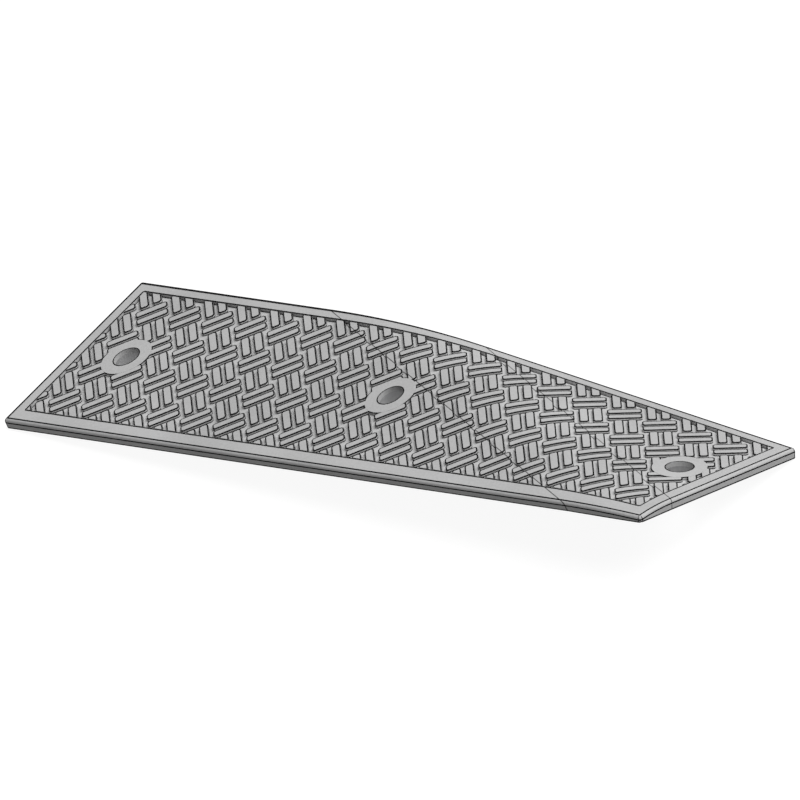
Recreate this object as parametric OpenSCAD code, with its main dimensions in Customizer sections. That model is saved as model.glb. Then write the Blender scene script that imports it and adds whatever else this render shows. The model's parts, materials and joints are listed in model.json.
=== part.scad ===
// Kerb ramp plate: a moulded tray, bent once about a slanting line, with a let-in tread panel,
// three bushed fixing holes and rubber strips where it bears on the road.
// Millimetres. +X runs along the plate, +Y to its back edge, +Z up. It stands on its strips at z = 0.
//
// The plate is drawn flat first: x from the left end, y from the front edge, z down from the top face.
// fold_point() bends that flat plate, and place_on() puts exact shapes on the bent one.

/* [Plate] */

// Length of the flat plate
plate_length = 1000; // [600:10:1500]
// Width of the flat plate
plate_width = 250; // [150:5:400]
// Thickness at the edge
plate_thickness = 11.5; // [9:0.5:20]
// Rounding of the top edge
edge_radius = 4; // [1:0.5:5]
// Plan radius of the corners
corner_radius = 1; // [0.5:0.5:20]

/* [Bend] */

// Place on the back edge where the bend starts, from the left end
bend_start = 295; // [150:5:450]
// Angle between the bend line and the length
bend_slant = 23; // [15:0.5:35]
// How far the lower part turns down
bend_angle = 23.75; // [5:0.25:40]
// Radius of the top face in the bend
bend_radius = 223; // [100:1:400]
// Flat steps that make up the bend
bend_steps = 8; // [4:2:12]

/* [Rim] */

// Rim width along the front edge
rim_front = 21.4; // [12:0.1:40]
// Rim width along the back edge
rim_back = 17.1; // [12:0.1:40]
// Rim width at the left end
rim_left = 19.1; // [12:0.1:40]
// Rim width at the right end
rim_right = 20.1; // [12:0.1:40]

/* [Tread panel] */

// Thickness of the panel under its bars
panel_thickness = 1.8; // [1.5:0.1:4]
// Gap between the panel and the rim
panel_clearance = 0.2; // [0.1:0.05:0.5]
// Repeat of the basket weave along and across the plate
tread_repeat = 52.2; // [40:0.1:80]
// A cell centre, from the left end
tread_start = 7.2; // [0:0.1:80]
// A cell centre, from the front edge
tread_side = 45; // [0:0.1:80]
// Length of a bar
bar_length = 38; // [20:0.1:40]
// Width of a bar
bar_width = 10.7; // [4:0.1:14]
// Spacing of the two bars of a cell
bar_spacing = 15.2; // [8:0.1:20]
// Height of the bars and pads
bar_height = 3.5; // [1.5:0.1:5]
// Cut at the corners of a bar
bar_chamfer = 2.2; // [0.5:0.1:4]

/* [Fixing holes] */

// Diameter of the fixing holes
hole_diameter = 30; // [12:0.5:40]
// Diameter of the flat pad round a hole
pad_diameter = 63; // [50:1:80]
// Place of the left hole, from the left end
hole_left = 85; // [75:1:150]
// Place of the middle hole, from the left end
hole_middle = 503; // [300:1:700]
// Place of the right hole, from the right end
hole_right = 59; // [55:1:150]
// Place of the holes, from the front edge
hole_line = 127; // [80:1:180]

/* [Bushes] */

// Wall of a bush
bush_wall = 4.25; // [2:0.25:6]
// Diameter of the bush flange
flange_diameter = 50; // [46:1:60]
// Thickness of the bush flange
flange_thickness = 2; // [1:0.5:4]
// Drop of the boss under the plate
boss_drop = 4; // [2:0.5:6]
// Diameter of the boss
boss_diameter = 54; // [48:1:70]

/* [Grip strips] */

// Width of the rubber strips
strip_width = 12; // [6:0.5:20]
// Depth of a strip in its groove
strip_depth = 4; // [2:0.5:5]
// How far a strip stands proud
strip_proud = 1.5; // [0.5:0.5:3]
// Length of the strip under the lower corner
heel_length = 70; // [30:5:120]
// Distance of a strip's ends from the plate's edges
strip_end = 5; // [3:0.5:20]

/* [Hidden] */

$fn = 64;
tray_colour = [0.74, 0.74, 0.74];
panel_colour = [0.78, 0.78, 0.78];
steel_colour = [0.55, 0.56, 0.57];
rubber_colour = [0.08, 0.08, 0.08];

arc_steps = 3;
over = 5;
bar_root = 0.8;
pad_root = 1.2;
bar_shy = 0.1;
bar_land = 0.4;
least_bar = 12;
least_floor = 1.5;
least_edge = 1;
least_corner = 0.3;

recess_depth = panel_thickness + bar_height;
hole_radius = hole_diameter / 2;
bush_radius = hole_radius + bush_wall;
boss_bottom = -plate_thickness - boss_drop;
strip_bottom = -plate_thickness - strip_proud;
hole_places = [hole_left, hole_middle, plate_length - hole_right];

// The bend, as fold lines at equal distances past the first one. Each turns the plate by one step,
// but the first and the last by half a step.
bend_step = bend_angle / bend_steps;
bend_run = bend_radius * bend_angle * PI / 180;
fold_lines = [for (k = [0:bend_steps]) bend_run * k / bend_steps];
facet_angles = [for (k = [0:bend_steps + 1]) min(max((k - 0.5) * bend_step, 0), bend_angle)];
facet_ways = [for (a = facet_angles) [cos(a), -sin(a)] * bend_run / bend_steps];
fold_across = [for (k = [0:bend_steps]) sum([for (i = [0:1:k]) i == 0 ? 0 : facet_ways[i].x])];
fold_height = [for (k = [0:bend_steps]) sum([for (i = [0:1:k]) i == 0 ? 0 : facet_ways[i].y])];

// Distance past the first fold line, and along it from the back edge, of a flat point.
function past_fold(p) = (p.x - bend_start) * sin(bend_slant) + (p.y - plate_width) * cos(bend_slant);
function along_fold(p) = (p.x - bend_start) * cos(bend_slant) - (p.y - plate_width) * sin(bend_slant);

// Number of the facet that a distance past the first fold lies in, and of the fold line it lies on.
function facet_of(d) = len([for (line = fold_lines) if (d > line) line]);
function line_at(d) = [for (k = [0:bend_steps]) if (abs(d - fold_lines[k]) < 1e-6) k];

// Turn at a fold line or in a facet, and the stretch of a depth that a mitre at a fold line needs.
function turn_at(d) =
    let (on = line_at(d))
    len(on) > 0 ? (facet_angles[on[0]] + facet_angles[on[0] + 1]) / 2 : facet_angles[facet_of(d)];
function mitre_at(d) =
    let (on = line_at(d))
    len(on) > 0 ? 1 / cos((facet_angles[on[0] + 1] - facet_angles[on[0]]) / 2) : 1;

// Bent place of a flat point, before the plate is stood at rest.
function bent(p) =
    let (d = past_fold(p), a = along_fold(p), facet = facet_of(d))
    let (k = max(facet - 1, 0), reach = d - fold_lines[k])
    let (c = fold_across[k] + reach * cos(facet_angles[facet]))
    let (h = fold_height[k] - reach * sin(facet_angles[facet]))
    let (deep = p.z * mitre_at(d), turn = turn_at(d))
    let (across = c + deep * sin(turn), height = h + deep * cos(turn))
    [
        bend_start + a * cos(bend_slant) + across * sin(bend_slant),
        plate_width - a * sin(bend_slant) + across * cos(bend_slant),
        height,
    ];

// The underside is two flats that meet in a crease, so the plate is thinnest there. Depth of the underside
// along a fold line's mitre: down to the nearer flat, but never less than the panel and the rounding need.
thinnest = max(recess_depth + least_floor, edge_radius + least_edge);
function under_fold(k) =
    let (turn = turn_at(fold_lines[k]), across = fold_across[k] - fold_across[bend_steps])
    let (height = fold_height[k] - fold_height[bend_steps])
    let (upper = plate_thickness + fold_height[k])
    let (lower = plate_thickness + across * sin(bend_angle) + height * cos(bend_angle))
    -max(upper / cos(turn), lower / cos(bend_angle - turn), thinnest * mitre_at(fold_lines[k]));
under_lines = [
    for (k = [0:bend_steps])
        let (deep = under_fold(k), turn = turn_at(fold_lines[k]))
        [fold_across[k] + deep * sin(turn), fold_height[k] + deep * cos(turn)]
];

// Height of the underside at a distance past the first fold, measured as in the flat plate.
function underside(d) =
    let (on = line_at(d), facet = facet_of(d))
    len(on) > 0 ? under_fold(on[0]) / mitre_at(d)
        : facet == 0 || facet > bend_steps ? -plate_thickness
        : under_facet(facet, d - fold_lines[facet - 1]);
function under_facet(facet, reach) =
    let (a = facet_angles[facet], low = under_lines[facet - 1], run = under_lines[facet] - low)
    let (spot = [fold_across[facet - 1] + reach * cos(a), fold_height[facet - 1] - reach * sin(a)])
    edge_turn(low - spot, run) / edge_turn([sin(a), cos(a)], run);

// At rest the plate leans on the toe strip and on the outer end of the heel strip.
heel_end = plate_length - strip_end;
toe_point = bent([0, strip_end, strip_bottom]);
heel_point = bent([heel_end, plate_width, strip_bottom]);
rest_tilt = atan2(toe_point.z - heel_point.z, heel_point.x - toe_point.x);

function tilted(p) = [
    p.x * cos(rest_tilt) - p.z * sin(rest_tilt),
    p.y,
    p.x * sin(rest_tilt) + p.z * cos(rest_tilt),
];

// Levels of the tray's outside, from the bottom up: [inset, height]. The one with no height is the underside.
round_levels = [
    for (a = [0:30:90]) [edge_radius * (1 - cos(a)), edge_radius * (sin(a) - 1)]
];
tray_levels = concat([[0, undef]], round_levels);
tray_spots = [for (level = tray_levels) for (p = folded_loop(tray_outline(level[0]), level[1])) tilted(p)];
rest_shift = -[
    (min([for (p = tray_spots) p.x]) + max([for (p = tray_spots) p.x])) / 2,
    (min([for (p = tray_spots) p.y]) + max([for (p = tray_spots) p.y])) / 2,
    tilted(toe_point).z,
];

// Place at rest of a flat point.
function fold_point(p) = tilted(bent(p)) + rest_shift;

// Flat outlines, anticlockwise.
function tray_outline(inset) =
    let (r = max(corner_radius - inset, least_corner), c = inset + r)
    let (x = plate_length - c, y = plate_width - c, corners = [[x, c], [x, y], [c, y], [c, c]])
    [for (k = [0:3]) for (i = [0:arc_steps]) corners[k] + r * turn_to(90 * (k - 1 + i / arc_steps))];
function turn_to(a) = [cos(a), sin(a)];
function field(gap) =
    let (x0 = rim_left + gap, x1 = plate_length - rim_right - gap)
    let (y0 = rim_front + gap, y1 = plate_width - rim_back - gap)
    [[x0, y0], [x1, y0], [x1, y1], [x0, y1]];

// A loop with a point added wherever it crosses a fold line.
function cut_loop(loop) = [
    for (i = [0:len(loop) - 1])
        let (p = loop[i], q = loop[(i + 1) % len(loop)])
        let (from = past_fold(p), to = past_fold(q))
        let (low = min(from, to) + 1e-6, high = max(from, to) - 1e-6)
        let (hits = [for (line = fold_lines) if (line > low && line < high) line])
        let (order = from < to ? hits : [for (j = [len(hits) - 1:-1:0]) hits[j]])
        each concat([p], [for (line = order) p + (q - p) * (line - from) / (to - from)])
];
function folded_loop(loop, z) = [for (p = cut_loop(loop)) bent([p.x, p.y, level_height(z, p)])];
function level_height(z, p) = is_undef(z) ? underside(past_fold(p)) : z;

// Part of a convex flat polygon on one side of x = limit (axis 0) or y = limit (axis 1).
function clip(poly, axis, limit, side) = [
    for (i = [0:1:len(poly) - 1])
        let (p = poly[i], q = poly[(i + 1) % len(poly)])
        let (a = (p[axis] - limit) * side, b = (q[axis] - limit) * side)
        each concat(a >= 0 ? [p] : [], a * b < 0 ? [p + (q - p) * a / (a - b)] : [])
];
function clip_to_field(poly) =
    let (f = field(panel_clearance + bar_land))
    clip(clip(clip(clip(poly, 0, f[0].x, 1), 0, f[2].x, -1), 1, f[0].y, 1), 1, f[2].y, -1);
function area(poly) =
    let (count = len(poly))
    count < 3 ? 0 : abs(sum([for (i = [0:count - 1]) edge_turn(poly[i], poly[(i + 1) % count])])) / 2;
function edge_turn(p, q) = p.x * q.y - p.y * q.x;
function sum(list) = list * [for (i = list) 1];
function middle(poly) = [sum([for (p = poly) p.x]), sum([for (p = poly) p.y])] / len(poly);

// The tread: cells in a square grid at 45 degrees, each with two bars, every other cell turned.
function bar_shape(centre, way, side) =
    let (l = bar_length / 2, w = bar_width / 2, c = bar_chamfer)
    let (half = [[l, c - w], [l, w - c], [l - c, w], [c - l, w]])
    let (u = turn_to(way), v = turn_to(way + 90))
    [for (p = concat(half, -half)) centre + u * p.x + v * (p.y + side * bar_spacing / 2)];
function in_pad(poly) =
    max([for (x = hole_places) min([for (p = poly) pad_diameter / 2 - norm(p - [x, hole_line])])]) > 0;
tread_columns = ceil(plate_length / tread_repeat) + 1;
tread_rows = ceil(plate_width / tread_repeat) + 1;
tread_bars = [
    for (i = [-2:tread_columns])
        for (j = [-2:tread_rows])
            for (turned = [0, 1])
                for (side = [-1, 1])
                    let (place = [tread_start, tread_side] + tread_repeat * ([i, j] + turned * [0.5, 0.5]))
                    let (bar = clip_to_field(bar_shape(place, turned == 1 ? -45 : 45, side)))
                    if (area(bar) > least_bar && !in_pad(bar)) bar
];

// A closed solid between bent levels of an outline. Levels are [loop, height], from the bottom up.
module folded_solid(levels) {
    loops = [for (level = levels) cut_loop(level[0])];
    count = len(loops[0]);
    top = len(levels) - 1;
    points = [for (level = levels) each folded_loop(level[0], level[1])];
    walls = [
        for (m = [0:top - 1])
            for (i = [0:count - 1])
                let (a = m * count + i, b = m * count + (i + 1) % count)
                each [[a, a + count, b], [b, a + count, b + count]]
    ];
    polyhedron(points, concat(walls, cap(loops[0], 0, false), cap(loops[top], top * count, true)));
}

// One flat face for each facet that a bent loop covers.
function cap(loop, first, up) = [
    for (k = [0:bend_steps + 1])
        let (low = k == 0 ? -1e9 : fold_lines[k - 1], high = k > bend_steps ? 1e9 : fold_lines[k])
        let (at = [for (i = [0:len(loop) - 1]) if (within(past_fold(loop[i]), low, high)) first + i])
        if (len(at) > 2) up ? [for (j = [len(at) - 1:-1:0]) at[j]] : at
];
function within(d, low, high) = d > low - 1e-6 && d < high + 1e-6;

// Stands the bent plate at rest.
module at_rest() {
    translate(rest_shift)
        rotate([0, -rest_tilt, 0])
            children();
}

// Puts a shape, drawn round the origin, on the top face at a flat point.
module place_on(p) {
    spot = bent([p.x, p.y, 0]);
    turn = bend_angle * min(max(past_fold(p) / bend_run, 0), 1);
    translate(spot)
        rotate([0, 0, -bend_slant])
            rotate([-turn, 0, 0])
                rotate([0, 0, bend_slant])
                    children();
}

module upright(p, bottom, top, r) {
    place_on(p)
        translate([0, 0, bottom])
            cylinder(h = top - bottom, r = r);
}

module bores(r, bottom, top) {
    for (x = hole_places)
        upright([x, hole_line], bottom, top, r);
}

// A straight strip under the edge, from one flat corner to the other. Its groove runs on past the plate.
module strip(low, high, past = 0) {
    place_on(low)
        translate([0, 0, strip_bottom - past])
            cube([high.x - low.x, high.y - low.y, strip_proud + strip_depth + past]);
}

module toe_place(past = 0) {
    strip([-past, strip_end], [strip_width, plate_width - strip_end], past);
}

module heel_place(past = 0) {
    strip([heel_end - heel_length, plate_width - strip_width], [heel_end, plate_width + past], past);
}

// The space in the tray that the panel is let into.
module recess() {
    folded_solid([for (z = [-recess_depth, over]) [field(0), z]]);
}

module base_tray() {
    color(tray_colour)
        at_rest()
            difference() {
                union() {
                    folded_solid([for (level = tray_levels) [tray_outline(level[0]), level[1]]]);
                    bores(boss_diameter / 2, boss_bottom, -recess_depth - bar_root);
                }
                recess();
                bores(bush_radius, boss_bottom - over, over);
                toe_place(over);
                heel_place(over);
            }
}

module tread_panel() {
    color(panel_colour)
        at_rest()
            difference() {
                union() {
                    folded_solid([for (z = [-recess_depth, -bar_height]) [field(panel_clearance), z]]);
                    bores(pad_diameter / 2, -bar_height - pad_root, 0);
                    for (bar = tread_bars)
                        tread_bar(bar);
                }
                bores(hole_radius, -recess_depth - over, over);
            }
}

module tread_bar(shape) {
    centre = middle(shape);
    place_on(centre)
        translate([0, 0, -bar_height - bar_root])
            linear_extrude(bar_height + bar_root - bar_shy)
                polygon([for (p = shape) p - centre]);
}

// The top of a bush is trimmed to the floor of the recess, so the panel lies on both.
module bush(x) {
    spot = [x, hole_line];
    color(steel_colour)
        at_rest()
            difference() {
                union() {
                    upright(spot, boss_bottom - flange_thickness / 2, 0, bush_radius);
                    upright(spot, boss_bottom - flange_thickness, boss_bottom, flange_diameter / 2);
                }
                recess();
                upright(spot, boss_bottom - flange_thickness - over, over, hole_radius);
            }
}

module bush_left() {
    bush(hole_places[0]);
}

module bush_middle() {
    bush(hole_places[1]);
}

module bush_right() {
    bush(hole_places[2]);
}

module toe_strip() {
    color(rubber_colour)
        at_rest()
            toe_place();
}

module heel_strip() {
    color(rubber_colour)
        at_rest()
            heel_place();
}

base_tray();
tread_panel();
bush_left();
bush_middle();
bush_right();
toe_strip();
heel_strip();
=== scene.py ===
"""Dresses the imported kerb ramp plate: a bent tray, its let-in tread panel, bushes and grip strips.

Every size is in metres. A shape is drawn on the flat plate first, with x from the left end, y from
the front edge and z up from the top face. The plate is then bent once about a slanting line and
stood at rest, as the solids are.
"""

from __future__ import annotations

import json
import logging
import math
from collections.abc import Iterable, Mapping, Sequence
from dataclasses import dataclass, field
from enum import Enum
from typing import Any

import bmesh
import bpy
from bmesh.types import BMesh, BMVert
from bpy.types import Material, Mesh, Node, NodeSocket, NodeTree, Object
from mathutils import Matrix, Vector

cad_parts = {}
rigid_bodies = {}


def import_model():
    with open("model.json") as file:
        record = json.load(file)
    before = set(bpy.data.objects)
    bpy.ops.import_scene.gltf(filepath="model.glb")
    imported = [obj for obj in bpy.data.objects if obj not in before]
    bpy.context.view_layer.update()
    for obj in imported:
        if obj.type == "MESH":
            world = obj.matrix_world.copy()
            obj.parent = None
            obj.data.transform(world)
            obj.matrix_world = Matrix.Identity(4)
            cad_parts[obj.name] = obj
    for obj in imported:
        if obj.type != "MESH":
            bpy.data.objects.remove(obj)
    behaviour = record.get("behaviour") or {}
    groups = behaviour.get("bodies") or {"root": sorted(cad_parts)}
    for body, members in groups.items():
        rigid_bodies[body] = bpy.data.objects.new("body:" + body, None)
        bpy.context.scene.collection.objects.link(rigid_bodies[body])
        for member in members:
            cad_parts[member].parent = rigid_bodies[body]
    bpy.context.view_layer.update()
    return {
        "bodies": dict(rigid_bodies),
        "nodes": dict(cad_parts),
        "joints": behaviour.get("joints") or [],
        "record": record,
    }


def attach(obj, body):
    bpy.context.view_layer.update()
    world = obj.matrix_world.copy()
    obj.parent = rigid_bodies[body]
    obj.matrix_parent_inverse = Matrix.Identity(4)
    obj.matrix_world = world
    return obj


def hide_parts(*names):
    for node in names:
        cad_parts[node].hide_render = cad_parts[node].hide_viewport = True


LOG = logging.getLogger("kerb_ramp")
BODY = "root"

# Metres in a millimetre
MM = 0.001
# How far a cutting solid runs on past what it cuts
OVERSHOOT = 0.005
# Smallest radius that a corner is drawn with
LEAST_CORNER = 2e-5
# How near to a fold line a point counts as on it
NEAR = 1e-8
# Short step along the plate, for the direction of its face
STEP = 1e-4
# A place far outside the plate
FAR = 100.0
# How far the first wall of a round corner leans from a straight one, at least and at most
CORNER_LEAN = (math.radians(2.0), math.radians(12.0))

Triple = tuple[float, float, float]
Colour = tuple[float, float, float]
Point = tuple[float, float]
Box = tuple[float, float, float, float]
Settings = Mapping[str, Any] | None
Inputs = Mapping[str | int, Any] | None


class Cut(Enum):
    """What one solid does to another."""

    ADD = "UNION"
    REMOVE = "DIFFERENCE"
    KEEP = "INTERSECT"


class Band(Enum):
    """Which finish a band of faces takes, by its material slot."""

    FACE = 0
    LINE = 1
    FLOOR = 2


class Datum(Enum):
    """Which face of the plate a height is measured from."""

    TOP = "top"
    UNDERSIDE = "underside"


Ring = tuple[float, float, Band]


class Value:
    """A number that a node gives, which arithmetic can be done on."""

    def __init__(self, graph: Graph, socket: NodeSocket) -> None:
        """Keeps the socket and the graph that it is in."""
        self.graph = graph
        self.socket = socket

    def _math(self, operation: str, *others: Value | float) -> Value:
        """Adds a Math node whose first number is this one."""
        inputs = dict(enumerate((self, *others)))
        return self.graph.value("ShaderNodeMath", {"operation": operation}, inputs)

    def __add__(self, other: Value | float) -> Value:
        """Sum."""
        return self._math("ADD", other)

    __radd__ = __add__

    def __sub__(self, other: Value | float) -> Value:
        """Difference."""
        return self._math("SUBTRACT", other)

    def __rsub__(self, other: float) -> Value:
        """Difference from a plain number."""
        return self.graph.value("ShaderNodeMath", {"operation": "SUBTRACT"}, {0: other, 1: self})

    def __mul__(self, other: Value | float) -> Value:
        """Product."""
        return self._math("MULTIPLY", other)

    __rmul__ = __mul__

    def __abs__(self) -> Value:
        """Size without its sign."""
        return self._math("ABSOLUTE")

    def greatest(self, other: Value | float) -> Value:
        """The greater of two numbers."""
        return self._math("MAXIMUM", other)

    def band(self, low: float, high: float) -> Value:
        """Maps low to 0 and high to 1, and holds the ends."""
        inputs = {"Value": self, "From Min": low, "From Max": high}
        return self.graph.value("ShaderNodeMapRange", {"clamp": True}, inputs)


class Graph:
    """A node tree that is built by calls."""

    def __init__(self, tree: NodeTree) -> None:
        """Starts an empty tree."""
        self.tree = tree
        tree.nodes.clear()

    def node(self, kind: str, settings: Settings = None, inputs: Inputs = None) -> Node:
        """Adds a node.

        Args:
            kind: The node's type.
            settings: Its settings, which are set first.
            inputs: The values or links of its sockets. A list links several to one socket.

        Returns:
            The new node.
        """
        made = self.tree.nodes.new(kind)
        for name, setting in (settings or {}).items():
            setattr(made, name, setting)
        for key, given in (inputs or {}).items():
            for one in given if isinstance(given, list) else [given]:
                self._join(made.inputs[key], one)
        return made

    def _join(self, socket: NodeSocket, given: Any) -> None:
        """Links a socket to a result, or sets its plain value.

        Args:
            socket: The socket of a node.
            given: A result, another socket or a plain value.
        """
        if isinstance(given, Value):
            self.tree.links.new(given.socket, socket)
        elif isinstance(given, NodeSocket):
            self.tree.links.new(given, socket)
        else:
            socket.default_value = given

    def value(
        self, kind: str, settings: Settings = None, inputs: Inputs = None, output: str | int = 0
    ) -> Value:
        """Adds a node and gives one of its results, as node() does."""
        return Value(self, self.node(kind, settings, inputs).outputs[output])

    def place(self) -> NodeSocket:
        """Object coordinates."""
        return self.node("ShaderNodeTexCoord").outputs["Object"]

    def noise(self, place: Any, scale: float, detail: float = 2.0, roughness: float = 0.5) -> Value:
        """Adds a noise texture, which gives a number from 0 to 1."""
        inputs = {"Vector": place, "Scale": scale, "Detail": detail, "Roughness": roughness}
        return self.value("ShaderNodeTexNoise", None, inputs)

    def along(self, place: Any, direction: Vector) -> Value:
        """Distance of a place along a direction."""
        inputs = {0: place, 1: tuple(direction)}
        return self.value("ShaderNodeVectorMath", {"operation": "DOT_PRODUCT"}, inputs, "Value")

    def mix(self, share: Value, first: Any, second: Any) -> NodeSocket:
        """Mixes two colours by the second one's share. Inputs 6 and 7 and output 2 are colours."""
        inputs = {0: share, 6: first, 7: second}
        return self.node("ShaderNodeMix", {"data_type": "RGBA"}, inputs).outputs[2]

    def bump(self, height: Value, strength: float, distance: float) -> NodeSocket:
        """Adds a bump, which gives a normal."""
        inputs = {"Strength": strength, "Distance": distance, "Height": height}
        return self.node("ShaderNodeBump", None, inputs).outputs[0]

    def surface(self, inputs: Mapping[str, Any]) -> None:
        """Ends a material with a shader that has these inputs."""
        shader = self.node("ShaderNodeBsdfPrincipled", None, inputs)
        self.node("ShaderNodeOutputMaterial", None, {"Surface": shader.outputs[0]})


class Layout(Graph):
    """A Geometry Nodes tree with a named input for each size, which makes one plain mesh."""

    def __init__(self, name: str, sizes: Mapping[str, float]) -> None:
        """Starts the tree.

        Args:
            name: The name of the tree and of the object that it makes.
            sizes: Its sizes. A whole number is a count.
        """
        super().__init__(bpy.data.node_groups.new(name, "GeometryNodeTree"))
        self.name = name
        self.sizes = sizes
        sockets = self.tree.interface
        sockets.new_socket("Geometry", in_out="OUTPUT", socket_type="NodeSocketGeometry")
        for size, number in sizes.items():
            kind = "NodeSocketInt" if isinstance(number, int) else "NodeSocketFloat"
            sockets.new_socket(size, in_out="INPUT", socket_type=kind)
        self.given = self.node("NodeGroupInput").outputs

    def size(self, name: str) -> Value:
        """One of the sizes."""
        return Value(self, self.given[name])

    def spot(self, x: Value, y: Value | float = 0.0) -> NodeSocket:
        """A flat place."""
        return self.node("ShaderNodeCombineXYZ", None, {"X": x, "Y": y}).outputs[0]

    def shape(self, source: Object) -> NodeSocket:
        """The mesh of an object."""
        return self.node("GeometryNodeObjectInfo", None, {"Object": source}).outputs["Geometry"]

    def copies(self, points: Any, shape: Any, turn: float = 0.0) -> NodeSocket:
        """Sets a shape on points, turned about the upright."""
        inputs = {"Points": points, "Instance": shape, "Rotation": (0.0, 0.0, turn)}
        return self.node("GeometryNodeInstanceOnPoints", None, inputs).outputs["Instances"]

    def real(self, parts: list[NodeSocket]) -> NodeSocket:
        """Joins parts and makes their copies real."""
        joined = self.node("GeometryNodeJoinGeometry", None, {"Geometry": parts}).outputs[0]
        return self.node("GeometryNodeRealizeInstances", None, {"Geometry": joined}).outputs[0]

    def dressed(self, geometry: NodeSocket, material: Material, where: Any = True) -> NodeSocket:
        """Sets a material, all over or where a mark is."""
        inputs = {"Geometry": geometry, "Selection": where, "Material": material}
        return self.node("GeometryNodeSetMaterial", None, inputs).outputs[0]

    def grow(self, geometry: NodeSocket) -> Object:
        """Ends the tree and turns its result into a plain mesh.

        Args:
            geometry: The socket of the result.

        Returns:
            The object, without a modifier.
        """
        self.node("NodeGroupOutput", None, {"Geometry": geometry})
        made = new_object(self.name, bpy.data.meshes.new(self.name), ())
        modifier = made.modifiers.new("layout", "NODES")
        modifier.node_group = self.tree
        for socket in self.tree.interface.items_tree:
            if socket.in_out == "INPUT":
                modifier[socket.identifier] = self.sizes[socket.name]
        baked(made)
        bpy.data.node_groups.remove(self.tree)
        return made


def opaque(colour: Colour, by: float = 1.0) -> tuple[float, float, float, float]:
    """A colour with full alpha, made darker or paler by a factor."""
    red, green, blue = (min(1.0, by * part) for part in colour)
    return (red, green, blue, 1.0)


def new_material(name: str) -> tuple[Material, Graph]:
    """Starts a material with an empty tree.

    Args:
        name: Its name.

    Returns:
        The material and its graph.
    """
    material = bpy.data.materials.new(name)
    material.use_nodes = True
    return material, Graph(material.node_tree)


def shrunk(box: Box, gap: float) -> Box:
    """A box made smaller all round."""
    left, front, right, back = box
    return (left + gap, front + gap, right - gap, back - gap)


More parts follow.
